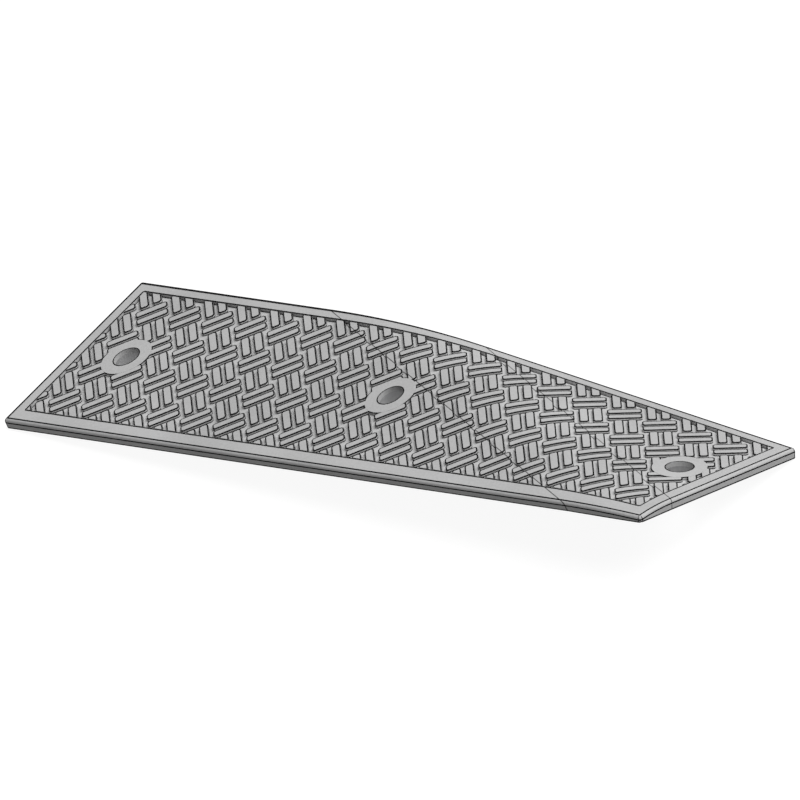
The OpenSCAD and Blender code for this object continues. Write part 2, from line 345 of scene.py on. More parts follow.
@dataclass(frozen=True)
class Plate:
    """The flat plate, how it is bent and how it stands at rest."""

    length: float = 1.0
    width: float = 0.25
    thickness: float = 0.0115
    bend_start: float = 0.295
    bend_slant: float = math.radians(23.0)
    bend_angle: float = math.radians(23.75)
    bend_radius: float = 0.223
    bend_steps: int = 28
    rim_front: float = 0.0214
    rim_back: float = 0.0171
    rim_left: float = 0.0191
    rim_right: float = 0.0201
    recess_depth: float = 0.0053
    recess_corner: float = 0.0006
    hole_places: tuple[float, ...] = (0.085, 0.503, 0.941)
    hole_line: float = 0.127
    hole_radius: float = 0.015
    tilt: float = 0.0
    shift: Triple = (0.0, 0.0, 0.0)

    @classmethod
    def from_record(cls, record: Mapping[str, Any]) -> Plate:
        """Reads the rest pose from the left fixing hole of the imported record.

        Args:
            record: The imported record.

        Returns:
            The plate at rest.
        """
        mount = record["mounts"][0]
        tilt = math.atan2(-mount["axis"][0], mount["axis"][2])
        level = cls(tilt=tilt)
        depth = -mount["dims"]["length_mm"] * MM / 2
        middle = level.at_rest(Vector((*level.hole_spots[0], depth)))
        return cls(tilt=tilt, shift=tuple(Vector(mount["pos_m"]) - middle))

    @property
    def bend_run(self) -> float:
        """Length of the bend across its line, on the top face."""
        return self.bend_radius * self.bend_angle

    @property
    def fold_lines(self) -> list[float]:
        """Distances past the start of the bend at which a mesh gets edges."""
        return [self.bend_run * k / self.bend_steps for k in range(self.bend_steps + 1)]

    @property
    def outside(self) -> Box:
        """Left, front, right and back of the plate."""
        return (0.0, 0.0, self.length, self.width)

    @property
    def recess(self) -> Box:
        """Left, front, right and back of the recess inside the rim."""
        right = self.length - self.rim_right
        return (self.rim_left, self.rim_front, right, self.width - self.rim_back)

    @property
    def hole_spots(self) -> list[Point]:
        """Flat places of the holes."""
        return [(x, self.hole_line) for x in self.hole_places]

    def past_fold(self, x: float, y: float) -> float:
        """Distance of a flat point past the start of the bend."""
        across = (x - self.bend_start) * math.sin(self.bend_slant)
        return across + (y - self.width) * math.cos(self.bend_slant)

    def underside(self, x: float, y: float) -> float:
        """Height of the underside, which is two flats that meet in a crease under the bend.

        Args:
            x: Distance from the left end.
            y: Distance from the front edge.

        Returns:
            The height, measured as on the flat plate.
        """
        turn = min(max(self.past_fold(x, y), 0.0), self.bend_run) / self.bend_radius
        lean = min(turn, self.bend_angle - turn)
        return (self.bend_radius - self.thickness) / math.cos(lean) - self.bend_radius

    def bent(self, flat: Vector) -> Vector:
        """Bends a flat point.

        Args:
            flat: A point of the flat plate.

        Returns:
            Its place on the bent plate.
        """
        sine, cosine = math.sin(self.bend_slant), math.cos(self.bend_slant)
        along = (flat.x - self.bend_start) * cosine - (flat.y - self.width) * sine
        past = self.past_fold(flat.x, flat.y)
        turn = min(max(past, 0.0), self.bend_run) / self.bend_radius
        rest = max(past - self.bend_run, 0.0)
        arm = self.bend_radius + flat.z
        across = min(past, 0.0) + arm * math.sin(turn) + rest * math.cos(turn)
        height = arm * math.cos(turn) - self.bend_radius - rest * math.sin(turn)
        x = self.bend_start + along * cosine + across * sine
        return Vector((x, self.width - along * sine + across * cosine, height))

    def turned(self, direction: Vector) -> Vector:
        """Turns a direction of the flat plate's large part to rest."""
        return Matrix.Rotation(-self.tilt, 3, "Y") @ direction

    def at_rest(self, flat: Vector) -> Vector:
        """Place of a flat point on the plate as it stands."""
        return self.turned(self.bent(flat)) + Vector(self.shift)

    def seat(self, x: float, y: float) -> Matrix:
        """Frame of the top face at a flat point: its z axis stands on the face.

        Args:
            x: Distance from the left end.
            y: Distance from the front edge.

        Returns:
            The frame, at rest.
        """
        spot = self.at_rest(Vector((x, y, 0.0)))
        up = (self.at_rest(Vector((x, y, 1.0))) - spot).normalized()
        along = (self.at_rest(Vector((x + STEP, y, 0.0))) - spot).normalized()
        across = up.cross(along).normalized()
        frame = Matrix((across.cross(up), across, up)).transposed().to_4x4()
        frame.translation = spot
        return frame

    def witness_lines(self) -> list[tuple[Vector, float]]:
        """The two lines where the bend starts and ends.

        Returns:
            For each, the direction across it along the top face, and its distance in that direction.
        """
        flat = Vector((math.sin(self.bend_slant), math.cos(self.bend_slant), 0.0))
        start = Vector((self.bend_start, self.width, 0.0))
        found = []
        for past in (0.0, self.bend_run):
            spot = self.at_rest(start + flat * past)
            turn = past / self.bend_radius
            across = self.turned(flat * math.cos(turn) - Vector((0.0, 0.0, math.sin(turn))))
            found.append((across, across.dot(spot)))
        return found


@dataclass(frozen=True)
class Level:
    """A loop of a bent solid, and the finish of the band that leads up to it.

    The band may look different along the back edge and the left end, and where a round corner starts
    and ends. The height is measured from the top face, or up from the underside if datum says so.
    """

    inset: float
    height: float
    band: Band = Band.FACE
    back_band: Band | None = None
    corner_band: Band | None = None
    datum: Datum = Datum.TOP

    def band_towards(self, x: float, y: float) -> Band:
        """Finish of a wall that faces a flat direction.

        Args:
            x: How far the direction goes to the right.
            y: How far it goes to the back.

        Returns:
            The finish.
        """
        lean = math.atan2(min(abs(x), abs(y)), max(abs(x), abs(y)))
        if self.corner_band and CORNER_LEAN[0] < lean < CORNER_LEAN[1]:
            return self.corner_band
        return self.back_band if self.back_band and y > x else self.band


@dataclass(frozen=True)
class MouldedPlastic:
    """Grey moulded plastic with a fine grain, scuffs and the two witness lines of the bend.

    Dark, pale and worn are factors on its colour.
    """

    name: str
    colour: Colour
    dark: float = 0.86
    pale: float = 1.10
    worn: float = 1.18
    roughness: float = 0.55
    gloss: float = 0.35
    cloud_scale: float = 7.0
    speck_scale: float = 420.0
    scuff_scale: Triple = (12.0, 160.0, 60.0)
    scuff_share: float = 0.35
    grain_scale: float = 900.0
    grain_strength: float = 0.12
    grain_depth: float = 0.0004
    line_width: float = 0.0007
    line_share: float = 0.9
    line_depth: float = 1.5
    line_colour: Colour = (0.03, 0.03, 0.03)

    def build(self, plate: Plate) -> Material:
        """Makes the material.

        Args:
            plate: The plate, for the places of its witness lines.

        Returns:
            The material.
        """
        material, graph = new_material(self.name)
        place = graph.place()
        cloud = graph.noise(place, self.cloud_scale, detail=3.0)
        speck = graph.noise(place, self.speck_scale, detail=1.0)
        drawn = graph.node("ShaderNodeMapping", None, {"Vector": place, "Scale": self.scuff_scale})
        scuff = graph.noise(drawn.outputs[0], 1.0, detail=4.0, roughness=0.65).band(0.62, 0.78)
        grain = graph.noise(place, self.grain_scale, roughness=0.6)
        line = self._witness(graph, place, plate)
        share = (cloud * 0.6 + speck * 0.4).band(0.3, 0.7)
        tint = graph.mix(share, opaque(self.colour, self.dark), opaque(self.colour, self.pale))
        tint = graph.mix(scuff * self.scuff_share, tint, opaque(self.colour, self.worn))
        tint = graph.mix(line * self.line_share, tint, opaque(self.line_colour))
        rough = self.roughness + (speck - 0.5) * 0.16 - scuff * 0.08
        normal = graph.bump(grain - line * self.line_depth, self.grain_strength, self.grain_depth)
        looks = {"Base Color": tint, "Roughness": rough, "Normal": normal}
        graph.surface({**looks, "Specular IOR Level": self.gloss})
        return material

    def _witness(self, graph: Graph, place: NodeSocket, plate: Plate) -> Value:
        """Mask of the fine lines at the start and the end of the bend.

        Args:
            graph: The material's graph.
            place: The socket of the Object coordinates.
            plate: The plate.

        Returns:
            A number that is 1 on the lines.
        """
        masks = []
        for across, distance in plate.witness_lines():
            off = abs(graph.along(place, across) - distance)
            masks.append(1.0 - off.band(self.line_width / 2, self.line_width))
        return masks[0].greatest(masks[1])


@dataclass(frozen=True)
class PaintedEdgeLine:
    """Dark lines painted along edges as outlines, and in the creases at the feet of walls as painted shade.
    """

    name: str = "painted_line"
    colour: Colour = (0.012, 0.012, 0.0125)
    pale: float = 2.2
    patch_scale: float = 140.0
    roughness: float = 0.8

    def build(self) -> Material:
        """Makes the material.

        Returns:
            The material.
        """
        material, graph = new_material(self.name)
        patch = graph.noise(graph.place(), self.patch_scale, detail=3.0)
        tint = graph.mix(patch.band(0.45, 0.75), opaque(self.colour), opaque(self.colour, self.pale))
        rough = self.roughness + (patch - 0.5) * 0.3
        graph.surface({"Base Color": tint, "Roughness": rough, "Specular IOR Level": 0.0})
        return material


@dataclass(frozen=True)
class TurnedSteel:
    """Dull zinc-plated steel with fine turning marks round its axis."""

    name: str
    colour: Colour = (0.435, 0.435, 0.44)
    dark: float = 0.7
    metal: float = 0.5
    roughness: float = 0.55
    ring_scale: float = 2600.0
    ring_strength: float = 0.15
    ring_depth: float = 0.0002
    bloom_scale: float = 160.0

    def build(self, axis: Vector) -> Material:
        """Makes the material.

        Args:
            axis: The axis it was turned about.

        Returns:
            The material.
        """
        material, graph = new_material(self.name)
        place = graph.place()
        inputs = {"W": graph.along(place, axis), "Scale": self.ring_scale, "Detail": 3.0}
        rings = graph.value("ShaderNodeTexNoise", {"noise_dimensions": "1D"}, inputs)
        bloom = graph.noise(place, self.bloom_scale, detail=4.0)
        share = (rings * 0.5 + bloom * 0.5).band(0.35, 0.65)
        tint = graph.mix(share, opaque(self.colour, self.dark), opaque(self.colour))
        rough = self.roughness + (bloom - 0.5) * 0.3
        normal = graph.bump(rings, self.ring_strength, self.ring_depth)
        graph.surface({"Base Color": tint, "Roughness": rough, "Metallic": self.metal, "Normal": normal})
        return material


@dataclass(frozen=True)
class GripRubber:
    """Matt black rubber with dust in its grain."""

    name: str = "grip_rubber"
    colour: Colour = (0.022, 0.022, 0.023)
    dust_colour: Colour = (0.16, 0.155, 0.15)
    dust_scale: float = 60.0
    dust_share: float = 0.4
    roughness: float = 0.72
    gloss: float = 0.3
    grain_scale: float = 1100.0
    grain_strength: float = 0.3
    grain_depth: float = 0.0004

    def build(self) -> Material:
        """Makes the material.

        Returns:
            The material.
        """
        material, graph = new_material(self.name)
        place = graph.place()
        grain = graph.noise(place, self.grain_scale)
        dust = graph.noise(place, self.dust_scale, detail=5.0, roughness=0.6)
        share = dust.band(0.5, 0.85) * self.dust_share
        tint = graph.mix(share, opaque(self.colour), opaque(self.dust_colour))
        rough = self.roughness + (dust - 0.5) * 0.3
        normal = graph.bump(grain, self.grain_strength, self.grain_depth)
        looks = {"Base Color": tint, "Roughness": rough, "Normal": normal}
        graph.surface({**looks, "Specular IOR Level": self.gloss})
        return material


@dataclass(frozen=True)
class Finishes:
    """The materials that the pieces share."""

    tray: Material
    panel: Material
    floor: Material
    line: Material
    rubber: Material

    @classmethod
    def of(cls, plate: Plate) -> Finishes:
        """Makes the materials.

        Args:
            plate: The plate that they are for.

        Returns:
            The finishes.
        """
        return cls(
            tray=MouldedPlastic("tray_plastic", (0.52, 0.52, 0.52)).build(plate),
            panel=MouldedPlastic("panel_plastic", (0.51, 0.51, 0.51)).build(plate),
            # Painted light: the floor between the bars is the same plastic made paler, to lift the shade that
            # falls there.
            floor=MouldedPlastic("panel_floor_painted_light", (0.575, 0.575, 0.575)).build(plate),
            line=PaintedEdgeLine().build(),
            rubber=GripRubber().build(),
        )


def new_object(name: str, mesh: Mesh, looks: Iterable[Material]) -> Object:
    """Adds a mesh to the scene.

    Args:
        name: The object's name.
        mesh: Its mesh.
        looks: Its materials, in the order of Band.

    Returns:
        The object.
    """
    for material in looks:
        mesh.materials.append(material)
    made = bpy.data.objects.new(name, mesh)
    bpy.context.scene.collection.objects.link(made)
    return made


def cast(name: str, shape: BMesh, looks: Iterable[Material] = ()) -> Object:
    """Turns a drawn shape into an object.

    Args:
        name: The object's name.
        shape: The shape, which is freed.
        looks: Its materials, in the order of Band.

    Returns:
        The object.
    """
    mesh = bpy.data.meshes.new(name)
    shape.to_mesh(mesh)
    shape.free()
    return new_object(name, mesh, looks)


def skin(shape: BMesh, low: Sequence[BMVert], high: Sequence[BMVert], bands: Iterable[Band]) -> None:
    """Joins two loops of corners by a band of faces.

    Args:
        shape: The shape that they are in.
        low: The lower loop.
        high: The upper loop.
        bands: The finish of each face.
    """
    for i, band in enumerate(bands):
        j = (i + 1) % len(low)
        shape.faces.new((low[i], low[j], high[j], high[i])).material_index = band.value


def drop(piece: Object) -> None:
    """Removes an object and its mesh.

    Args:
        piece: The object.
    """
    mesh = piece.data
    bpy.data.objects.remove(piece)
    bpy.data.meshes.remove(mesh)


def baked(piece: Object) -> None:
    """Turns a piece's modifiers into a plain mesh.

    Args:
        piece: The piece, whose old mesh is removed.
    """
    bpy.context.view_layer.update()
    graph = bpy.context.evaluated_depsgraph_get()
    mesh = bpy.data.meshes.new_from_object(piece.evaluated_get(graph))
    piece.modifiers.clear()
    before = piece.data
    piece.data = mesh
    bpy.data.meshes.remove(before)


def carve(piece: Object, tool: Object, how: Cut) -> None:
    """Adds, removes or keeps a tool's solid, and drops the tool.

    Args:
        piece: The solid to change.
        tool: The other solid.
        how: What is done.
    """
    modifier = piece.modifiers.new("carve", "BOOLEAN")
    modifier.operation = how.value
    modifier.solver = "MANIFOLD"
    modifier.object = tool
    baked(piece)
    drop(tool)


def smooth(piece: Object, angle: float = 28.0) -> None:
    """Shades a piece smooth.

    Args:
        piece: The piece.
        angle: The angle in degrees past which an edge stays sharp.
    """
    piece.data.shade_smooth()
    piece.data.set_sharp_from_angle(angle=math.radians(angle))
    piece.data.update()


@dataclass
class BentStock:
    """Makes closed solids that follow the bend of the plate, with finishes in the order of Band."""

    plate: Plate
    looks: tuple[Material, ...]
    arc_steps: int = 5
    sides: int = 72

    def outline(self, box: Box, radius: float) -> list[Point]:
        """Anticlockwise outline of a flat rectangle with round corners, from the left end of its front.

        The start is away from the bend, so that the points of all levels of a solid pair up.

        Args:
            box: Its left, front, right and back.
            radius: The radius of its corners.

        Returns:
            Its points.
        """
        left, front, right, back = shrunk(box, radius)
        points = []
        for quarter, (x, y) in enumerate(((left, front), (right, front), (right, back), (left, back))):
            for step in range(self.arc_steps + 1):
                turn = math.pi / 2 * (quarter - 2 + step / self.arc_steps)
                points.append((x + radius * math.cos(turn), y + radius * math.sin(turn)))
        return points

    def cut_loop(self, loop: Sequence[Point]) -> list[Point]:
        """Adds a point wherever a loop crosses a fold line.

        Args:
            loop: A closed flat loop.

        Returns:
            The loop with the points added.
        """
        result: list[Point] = []
        for index, first in enumerate(loop):
            second = loop[(index + 1) % len(loop)]
            start, end = self.plate.past_fold(*first), self.plate.past_fold(*second)
            low, high = min(start, end) + NEAR, max(start, end) - NEAR
            hits = [line for line in self.plate.fold_lines if low < line < high]
            result.append(first)
            for line in hits if start < end else reversed(hits):
                share = (line - start) / (end - start)
                result.append(tuple(a + (b - a) * share for a, b in zip(first, second)))
        return result

    def facets(self, loop: Sequence[Point]) -> list[list[int]]:
        """Splits a loop's inside along the fold lines.

        Args:
            loop: A loop that has a point on each fold line it crosses.

        Returns:
            Numbers of the loop's points round each facet.
        """
        edges = [-math.inf, *self.plate.fold_lines, math.inf]
        past = [self.plate.past_fold(*point) for point in loop]
        found = []
        for low, high in zip(edges, edges[1:]):
            inside = [i for i, d in enumerate(past) if low - NEAR <= d <= high + NEAR]
            if len(inside) > 2:
                found.append(inside)
        return found

    def solid(
        self, name: str, box: Box, radius: float, levels: Sequence[Level], cap: Band = Band.FACE
    ) -> Object:
        """Makes a closed solid between levels of an outline.

        Args:
            name: The object's name.
            box: Left, front, right and back of the outline.
            radius: The radius of its corners.
            levels: Its levels, from the bottom up.
            cap: The finish of its top face.

        Returns:
            The solid, at rest.
        """
        shape = bmesh.new()
        loops, rings = [], []
        for level in levels:
            corner = max(radius - level.inset, LEAST_CORNER)
            loop = self.cut_loop(self.outline(shrunk(box, level.inset), corner))
            loops.append(loop)
            rings.append([shape.verts.new(self.plate.at_rest(self._spot(level, x, y))) for x, y in loop])
        for level, loop, low, high in zip(levels[1:], loops, rings, rings[1:]):
            pairs = zip(loop, loop[1:] + loop[:1])
            skin(shape, low, high, [level.band_towards(b[1] - a[1], a[0] - b[0]) for a, b in pairs])
        for facet in self.facets(loops[0]):
            shape.faces.new([rings[0][i] for i in reversed(facet)])
        for facet in self.facets(loops[-1]):
            shape.faces.new([rings[-1][i] for i in facet]).material_index = cap.value
        return cast(name, shape, self.looks)

    def _spot(self, level: Level, x: float, y: float) -> Vector:
        """Flat point of a level."""
        datum = self.plate.underside(x, y) if level.datum is Datum.UNDERSIDE else 0.0
        return Vector((x, y, datum + level.height))

    def turned(self, name: str, spot: Point, profile: Sequence[Ring]) -> Object:
        """Makes a round solid that stands on the plate.

        Args:
            name: The object's name.
            spot: Its flat place.
            profile: Radius, height and band of each ring, from the bottom up.

        Returns:
            The solid, at rest.
        """
        seat = self.plate.seat(*spot)
        turns = [2 * math.pi * i / self.sides for i in range(self.sides)]
        shape = bmesh.new()
        rings = []
        for radius, height, _ in profile:
            flat = [Vector((radius * math.cos(a), radius * math.sin(a), height)) for a in turns]
            rings.append([shape.verts.new(seat @ point) for point in flat])
        for (_, _, band), low, high in zip(profile[1:], rings, rings[1:]):
            skin(shape, low, high, [band] * self.sides)
        shape.faces.new(list(reversed(rings[0])))
        shape.faces.new(rings[-1])
        return cast(name, shape, self.looks)

    def drill(self, piece: Object, radius: float, low: float) -> None:
        """Cuts a round hole at the place of each fixing hole.

        Args:
            piece: The piece to cut.
            radius: The radius of the hole.
            low: The height of the piece's bottom.
        """
        bit = [(radius, low - OVERSHOOT, Band.FACE), (radius, OVERSHOOT, Band.FACE)]
        for spot in self.plate.hole_spots:
            carve(piece, self.turned("bit", spot, bit), Cut.REMOVE)


@dataclass
class BaseTray:
    """The moulded tray: a rim with a rounded edge, a recess, bosses and grooves for the strips.

    A line is a dark band painted along an edge as an outline: at the foot of the wall, under the rounded
    edge, on the rim's outer edge, or on that edge along the back. The lip is the painted dark edge of the
    recess.
    """

    plate: Plate
    finishes: Finishes
    edge_radius: float = 0.004
    corner_radius: float = 0.004
    round_steps: int = 7
    back_steps: int = 3
    foot_line: float = 0.0015
    painted_line: float = 0.00075
    rim_line: float = 0.001275
    back_line: float = 0.00165
    lip_width: float = 0.002
    lip_drop: float = 0.0002
    boss_radius: float = 0.027
    boss_drop: float = 0.004
    boss_edge: float = 0.0006
    boss_cover: float = 0.001
    bush_radius: float = 0.01925
    strip_width: float = 0.012
    strip_depth: float = 0.004
    heel_length: float = 0.070
    strip_end: float = 0.005
    groove_corner: float = 0.0004

    def levels(self) -> list[Level]:
        """Levels of the outside.

        Returns:
            The levels, from the bottom edge to the flat of the rim.
        """
        radius = self.edge_radius
        found = [
            Level(0.0, 0.0, datum=Datum.UNDERSIDE),
            Level(0.0, self.foot_line, Band.LINE, datum=Datum.UNDERSIDE),
            Level(0.0, -radius - self.painted_line, corner_band=Band.LINE),
            Level(0.0, -radius, Band.LINE),
        ]
        for step in range(1, self.round_steps + 1):
            turn = math.pi / 2 * step / self.round_steps
            band = Band.LINE if step in (1, self.round_steps) else Band.FACE
            back_band = Band.LINE if step > self.round_steps - self.back_steps else Band.FACE
            inset, height = radius * (1 - math.cos(turn)), radius * (math.sin(turn) - 1)
            found.append(Level(inset, height, band, back_band, Band.LINE))
        found.append(Level(radius + self.rim_line, 0.0, Band.LINE))
        found.append(Level(radius + self.back_line, 0.0, Band.FACE, Band.LINE))
        return found

    def build(self) -> Object:
        """Makes the tray.

        Returns:
            The finished piece.
        """
        stock = BentStock(self.plate, (self.finishes.tray, self.finishes.line))
        tray = stock.solid("kerb_ramp_tray", self.plate.outside, self.corner_radius, self.levels())
        bottom = -self.plate.thickness - self.boss_drop
        boss = [
            (self.boss_radius - self.boss_edge, bottom, Band.FACE),
            (self.boss_radius, bottom + self.boss_edge, Band.FACE),
            (self.boss_radius, -self.plate.recess_depth - self.boss_cover, Band.FACE),
        ]
        for spot in self.plate.hole_spots:
            carve(tray, stock.turned("boss", spot, boss), Cut.ADD)
        recess = [
            Level(0.0, -self.plate.recess_depth),
            Level(0.0, -self.lip_drop),
            Level(-self.lip_width, 0.0, Band.LINE),
            Level(-self.lip_width, OVERSHOOT),
        ]
        carve(tray, stock.solid("recess", self.plate.recess, self.plate.recess_corner, recess), Cut.REMOVE)
        stock.drill(tray, self.bush_radius, bottom)
        depth = [
            Level(0.0, -self.plate.thickness - OVERSHOOT),
            Level(0.0, self.strip_depth - self.plate.thickness),
        ]
        for groove in self.grooves(OVERSHOOT):
            carve(tray, stock.solid("groove", groove, self.groove_corner, depth), Cut.REMOVE)
        smooth(tray)
        return tray

    def grooves(self, past: float = 0.0) -> tuple[Box, Box]:
        """Places of the two grooves.

        Args:
            past: How far they run on past the plate's walls.

        Returns:
            The boxes of the groove under the left end and of the one under the low corner.
        """
        end, wide = self.strip_end, self.strip_width
        heel, back = self.plate.length - end, self.plate.width
        return (-past, end, wide, back - end), (heel - self.heel_length, back - wide, heel, back + past)


@dataclass
class TreadWeave:
    """The basket weave of bars, laid out on the flat plate by geometry nodes.

    A bar has dark lines painted at the head and the foot of its sides, and round its top: painted outlines at
    the head and round the top, and painted shade in the crease at the foot.
    """

    plate: Plate
    finishes: Finishes
    repeat: float = 0.0522
    start: float = 0.0072
    side: float = 0.045
    spare: int = 3
    bar_length: float = 0.038
    bar_width: float = 0.0107
    bar_spacing: float = 0.0152
    bar_height: float = 0.0035
    bar_chamfer: float = 0.0022
    bar_shy: float = 0.0001
    bar_root: float = 0.0008
    side_line: float = 0.00102
    top_line: float = 0.001445
    segments: int = 3
    mark: str = "line"

    def bar_outline(self, grow: float) -> list[Point]:
        """Plan of a bar, with points along its long sides so that it can bend.

        Args:
            grow: How far it is larger all round.

        Returns:
            Its points, anticlockwise from the back of its right end.
        """
        half, side = self.bar_length / 2 + grow, self.bar_width / 2 + grow
        cut = self.bar_chamfer + grow * (2 - math.sqrt(2))
        run, end = half - cut, side - cut
        steps = [run - 2 * run * k / self.segments for k in range(self.segments + 1)]
        upper = [(half, end), *((x, side) for x in steps), (-half, end)]
        return upper + [(-x, -y) for x, y in upper]

    def bar(self) -> Object:
        """Makes one bar, with a mark on its dark lines.

        Returns:
            The bar.
        """
        low, top = -self.bar_height, -self.bar_shy
        rings = [
            (0.0, low - self.bar_root, Band.FACE),
            (0.0, low + self.side_line, Band.LINE),
            (0.0, top - self.side_line, Band.FACE),
            (0.0, top, Band.LINE),
            (-self.top_line, top, Band.LINE),
        ]
        shape = bmesh.new()
        loops = []
        for grow, height, _ in rings:
            loops.append([shape.verts.new((x, y, height)) for x, y in self.bar_outline(grow)])
        for (_, _, band), lower, upper in zip(rings[1:], loops, loops[1:]):
            skin(shape, lower, upper, [band] * len(lower))
        for corners in self._strips(loops[-1]):
            shape.faces.new(corners)
        for corners in self._strips(loops[0]):
            shape.faces.new(list(reversed(corners)))
        bar = cast("tread_bar", shape)
        marks = bar.data.attributes.new(self.mark, "BOOLEAN", "FACE")
        for mark, face in zip(marks.data, bar.data.polygons):
            mark.value = face.material_index == Band.LINE.value
        return bar

    def _strips(self, loop: Sequence[BMVert]) -> list[list[BMVert]]:
        """Corners of the strips across a bar that close one of its loops."""
        return [[loop[k], loop[k + 1], loop[-2 - k], loop[-1 - k]] for k in range(self.segments + 2)]

    def build(self) -> Object:
        """Lays out the bars on the flat plate.

        Returns:
            All the bars, flat and uncut.
        """
        sizes = {
            "Repeat": self.repeat,
            "Start": self.start,
            "Side": self.side,
            "Bar Spacing": self.bar_spacing,
            "Columns": math.ceil(self.plate.length / self.repeat) + self.spare,
            "Rows": math.ceil(self.plate.width / self.repeat) + self.spare,
        }
        layout = Layout("tread_weave", sizes)
        bar = self.bar()
        shape = layout.shape(bar)
        sets = []
        for shift, way in ((0.0, math.pi / 4), (0.5, -math.pi / 4)):
            for hand in (-0.5, 0.5):
                sets.append(layout.copies(self._points(layout, shift, way, hand), shape, way))
        plain = layout.dressed(layout.real(sets), self.finishes.panel)
        marked = layout.node("GeometryNodeInputNamedAttribute", {"data_type": "BOOLEAN"}, {"Name": self.mark})
        weave = layout.grow(layout.dressed(plain, self.finishes.line, marked.outputs["Attribute"]))
        drop(bar)
        self._order_looks(weave.data)
        return weave

    @staticmethod
    def _points(layout: Layout, shift: float, way: float, hand: float) -> NodeSocket:
        """Adds the grid of points for one bar of each pair.

        Args:
            layout: The layout.
            shift: How far the grid is moved each way, in repeats.
            way: The angle of the bars.
            hand: Which bar of the pair, as a share of their spacing.

        Returns:
            The socket of the points.
        """
        repeat, columns, rows = (layout.size(name) for name in ("Repeat", "Columns", "Rows"))
        size = {"Size X": repeat * (columns - 1.0), "Size Y": repeat * (rows - 1.0)}
        count = {"Vertices X": columns, "Vertices Y": rows}
        grid = layout.node("GeometryNodeMeshGrid", None, {**size, **count})
        off = layout.size("Bar Spacing") * hand
        x = layout.size("Start") + repeat * (columns * 0.5 + shift - 1.5) - off * math.sin(way)
        y = layout.size("Side") + repeat * (rows * 0.5 + shift - 1.5) + off * math.cos(way)
        inputs = {"Geometry": grid.outputs["Mesh"], "Translation": layout.spot(x, y)}
        return layout.node("GeometryNodeTransform", None, inputs).outputs[0]

    def _order_looks(self, mesh: Mesh) -> None:
        """Puts the materials of the laid-out bars in the order of Band.

        Args:
            mesh: The mesh of the bars.
        """
        line = mesh.materials.find(self.finishes.line.name)
        lined = [face.material_index == line for face in mesh.polygons]
        mesh.materials.clear()
        mesh.materials.append(self.finishes.panel)
        mesh.materials.append(self.finishes.line)
        for face, dark in zip(mesh.polygons, lined):
            face.material_index = Band.LINE.value if dark else Band.FACE.value
        mesh.attributes.remove(mesh.attributes[self.mark])


@dataclass
class TreadPanel:
    """The let-in panel: a sheet with the weave of bars and a flat pad round each hole.

    The pad's edge is a sunk step painted dark, which the bars run over. Its side has dark lines painted at
    its head and foot, and its hole a painted dark mouth: painted outlines, with painted shade in the crease
    at the foot.
    """

    plate: Plate
    finishes: Finishes
    weave: TreadWeave
    clearance: float = 0.0002
    land: float = 0.0004
    edge_line: float = 0.0012
    pad_radius: float = 0.0315
    pad_root: float = 0.0012
    pad_edge: float = 0.0012
    pad_step: float = 0.0002
    pad_line: float = 0.00072
    pad_lap: float = 0.0002
    mouth_line: float = 0.0015

    def build(self) -> Object:
        """Makes the panel.

        Returns:
            The finished piece.
        """
        finishes, plate = self.finishes, self.plate
        stock = BentStock(plate, (finishes.panel, finishes.line, finishes.floor))
        low, high = -plate.recess_depth, -self.weave.bar_height
        # The dark band round the sheet's edge is painted shade in the crease at the foot of the recess wall.
        levels = [Level(0.0, low), Level(0.0, high), Level(self.edge_line, high, Band.LINE)]
        box = shrunk(plate.recess, self.clearance)
        panel = stock.solid("kerb_ramp_tread", box, plate.recess_corner, levels, Band.FLOOR)
        for spot in plate.hole_spots:
            carve(panel, stock.turned("pad", spot, self._pad()), Cut.ADD)
        self._join(panel, self._bars(stock.looks))
        stock.drill(panel, plate.hole_radius, low)
        smooth(panel)
        return panel

    def _pad(self) -> list[Ring]:
        """Profile of the flat pad round a hole.

        Returns:
            Its rings, from the bottom up.
        """
        radius, inner, hole = self.pad_radius, self.pad_radius - self.pad_edge, self.plate.hole_radius
        floor = -self.weave.bar_height
        return [
            (radius, floor - self.pad_root, Band.FACE),
            (radius, floor + self.pad_line, Band.LINE),
            (radius, -self.pad_line, Band.FACE),
            (radius, -self.pad_step, Band.LINE),
            (inner, -self.pad_step, Band.LINE),
            (inner, 0.0, Band.LINE),
            (hole + self.mouth_line, 0.0, Band.FACE),
            (hole - self.mouth_line, 0.0, Band.LINE),
        ]

    def _bars(self, looks: tuple[Material, ...]) -> Object:
        """Makes the bars, cut off along the rim and bent with the plate.

        Args:
            looks: The finishes of the cut faces, in the order of Band.

        Returns:
            The bars, at rest.
        """
        flat = BentStock(Plate(bend_start=FAR, bend_steps=1), looks)
        bars = self.weave.build()
        LOG.info("tread bars: %d faces", len(bars.data.polygons))
        low = -self.weave.bar_height - self.weave.bar_root
        reach = [Level(0.0, low - OVERSHOOT), Level(0.0, OVERSHOOT)]
        box = shrunk(self.plate.recess, self.clearance + self.land)
        carve(bars, flat.solid("field", box, self.plate.recess_corner, reach), Cut.KEEP)
        flat.drill(bars, self.pad_radius - self.pad_edge - self.pad_lap, low)
        for vertex in bars.data.vertices:
            vertex.co = self.plate.at_rest(vertex.co)
        bars.data.update()
        return bars

    @staticmethod
    def _join(panel: Object, bars: Object) -> None:
        """Puts the bars in the panel's mesh.

        Args:
            panel: The panel.
            bars: The bars, which are dropped.
        """
        shape = bmesh.new()
        shape.from_mesh(panel.data)
        shape.from_mesh(bars.data)
        shape.to_mesh(panel.data)
        shape.free()
        drop(bars)


